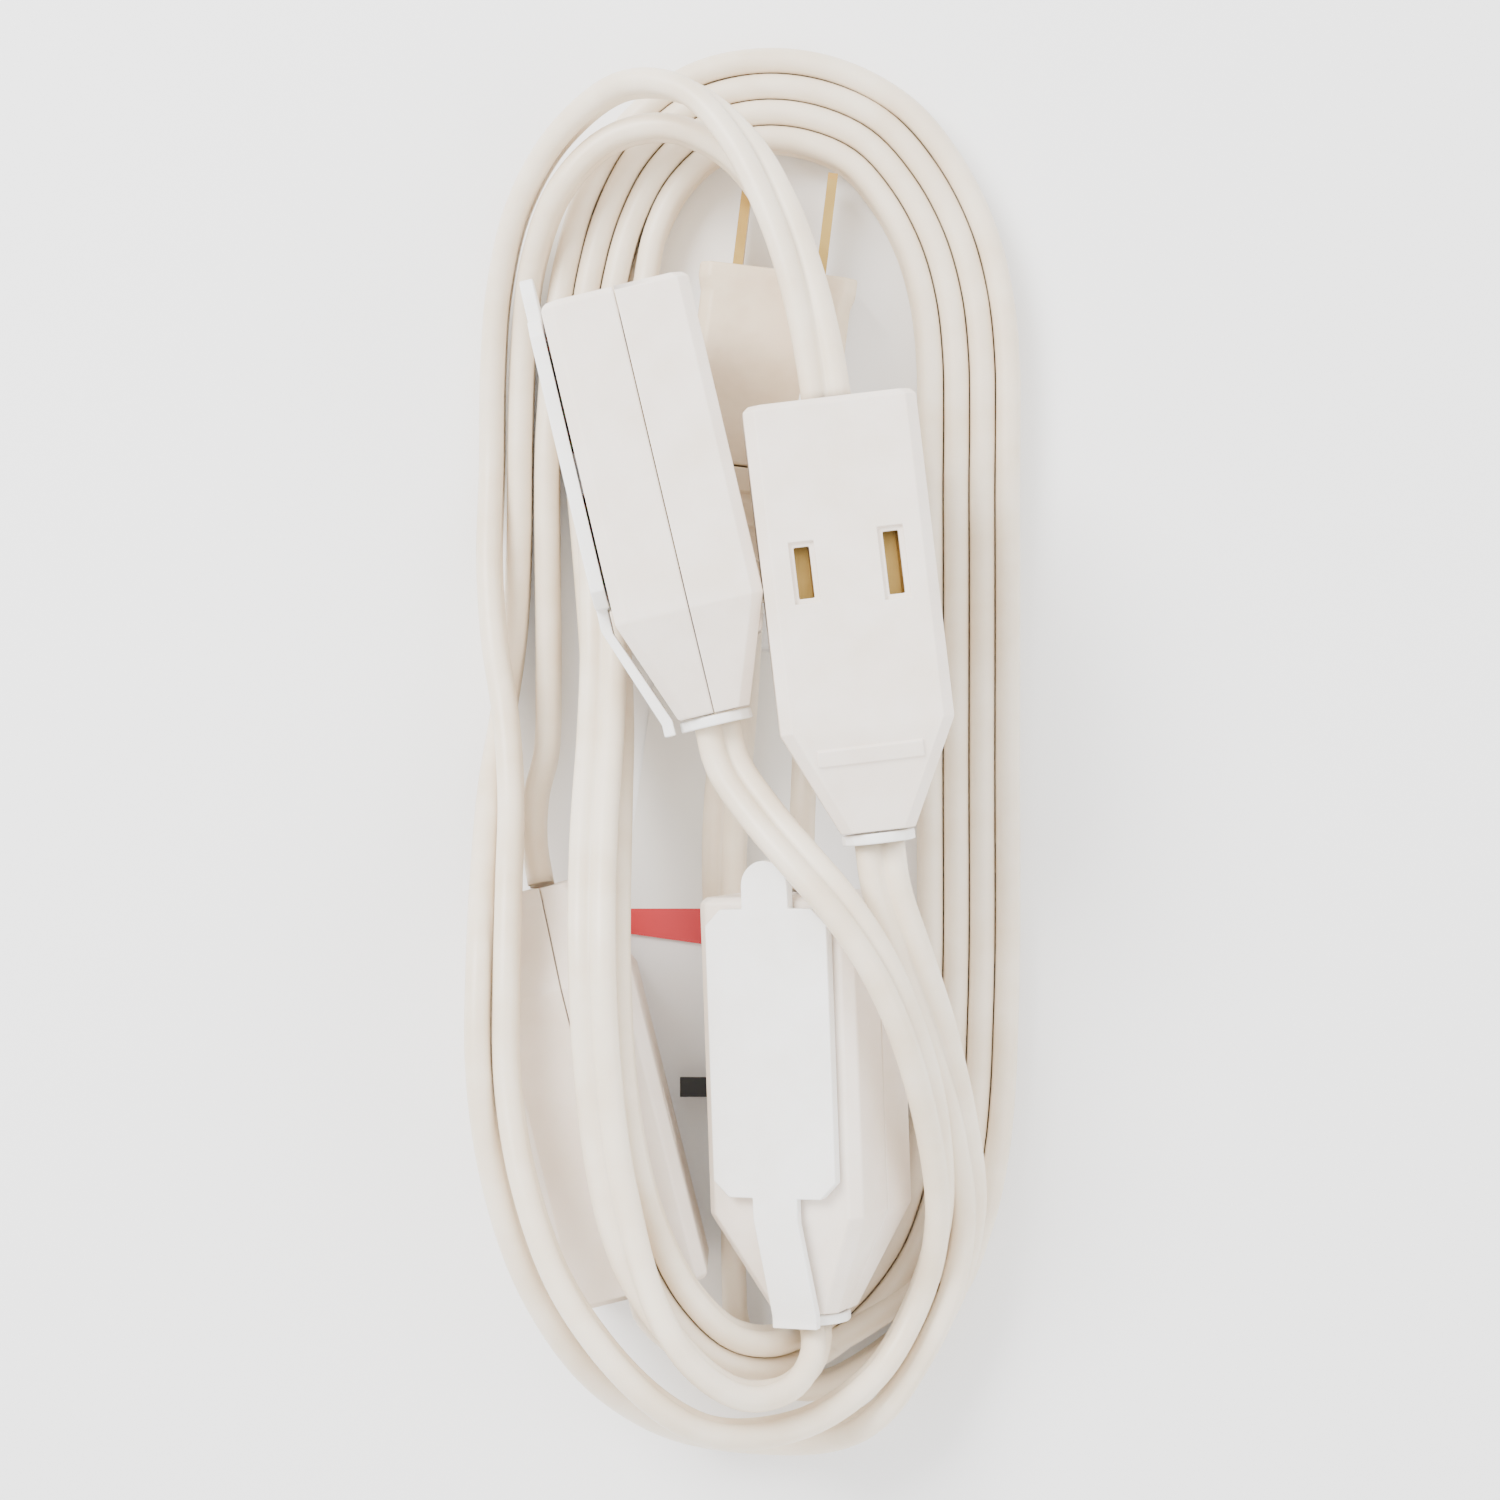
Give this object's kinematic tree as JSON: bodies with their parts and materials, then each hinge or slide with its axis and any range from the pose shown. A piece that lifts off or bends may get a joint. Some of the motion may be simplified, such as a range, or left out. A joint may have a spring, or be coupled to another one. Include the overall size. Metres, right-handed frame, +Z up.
{
  "type": "extension cord",
  "caption": "flat two-core indoor extension cord with in-line cube taps, push-in safety covers and a flat two-blade plug, wound into a long hank",
  "frame": {"origin": "on the floor under the middle of the hank's bounding box", "axes": "+Z up out of the floor, +Y along the hank towards the plug's blades, +X to the right seen from above"},
  "size_m": [0.0828, 0.2144, 0.045],
  "materials": {
    "tap_shell": "moulded cream ABS, satin",
    "plug_vinyl": "moulded cream vinyl, satin",
    "cover_plastic": "moulded white polyethylene",
    "cord_vinyl": "extruded cream vinyl, soft gloss",
    "contact_brass": "rolled brass strip",
    "label_paper": "white coated label film",
    "tie_vinyl": "black vinyl wire tie"
  },
  "bodies": {
    "root": {"tap_a_front_shell": "tap_shell", "tap_a_back_shell": "tap_shell", "tap_a_contact_hot": "contact_brass", "tap_a_contact_neutral": "contact_brass", "tap_a_eyelet": "cover_plastic", "tap_b_front_shell": "tap_shell", "tap_b_back_shell": "tap_shell", "tap_b_contact_hot": "contact_brass", "tap_b_contact_neutral": "contact_brass", "tap_b_eyelet": "cover_plastic", "tap_c_front_shell": "tap_shell", "tap_c_back_shell": "tap_shell", "tap_c_contact_hot": "contact_brass", "tap_c_contact_neutral": "contact_brass", "tap_c_eyelet": "cover_plastic", "tap_d_front_shell": "tap_shell", "tap_d_back_shell": "tap_shell", "tap_d_contact_hot": "contact_brass", "tap_d_contact_neutral": "contact_brass", "plug_body": "plug_vinyl", "plug_bridge": "plug_vinyl", "plug_blade_hot": "contact_brass", "plug_blade_neutral": "contact_brass", "plug_strain_relief": "plug_vinyl", "cord_a_to_b": "cord_vinyl", "cord_b_to_c": "cord_vinyl", "cord_c_lead": "cord_vinyl", "cord_d_lead": "cord_vinyl", "cord_plug_lead": "cord_vinyl", "hank_band": "cord_vinyl", "wire_tie": "tie_vinyl", "paper_label": "label_paper"},
    "cover_a": {"tap_a_cover": "cover_plastic"},
    "cover_b": {"tap_b_cover": "cover_plastic"},
    "cover_c": {"tap_c_cover": "cover_plastic"}
  },
  "joints": [
    {"name": "cover_a_hinge", "type": "hinge", "parent": "root", "child": "cover_a", "pos_m": [-0.01159, 0.00272, 0.0324], "axis": [0, 0, 1], "range_deg": [0, 66]},
    {"name": "cover_b_hinge", "type": "hinge", "parent": "root", "child": "cover_b", "pos_m": [0.01847, -0.01253, 0.0274], "axis": [-0.993, -0.1184, 0], "range_deg": [0, 2]},
    {"name": "cover_c_hinge", "type": "hinge", "parent": "root", "child": "cover_c", "pos_m": [0.0068, -0.08393, 0.02525], "axis": [0.9058, 0.0316, 0.4226], "range_deg": [0, 4]}
  ]
}
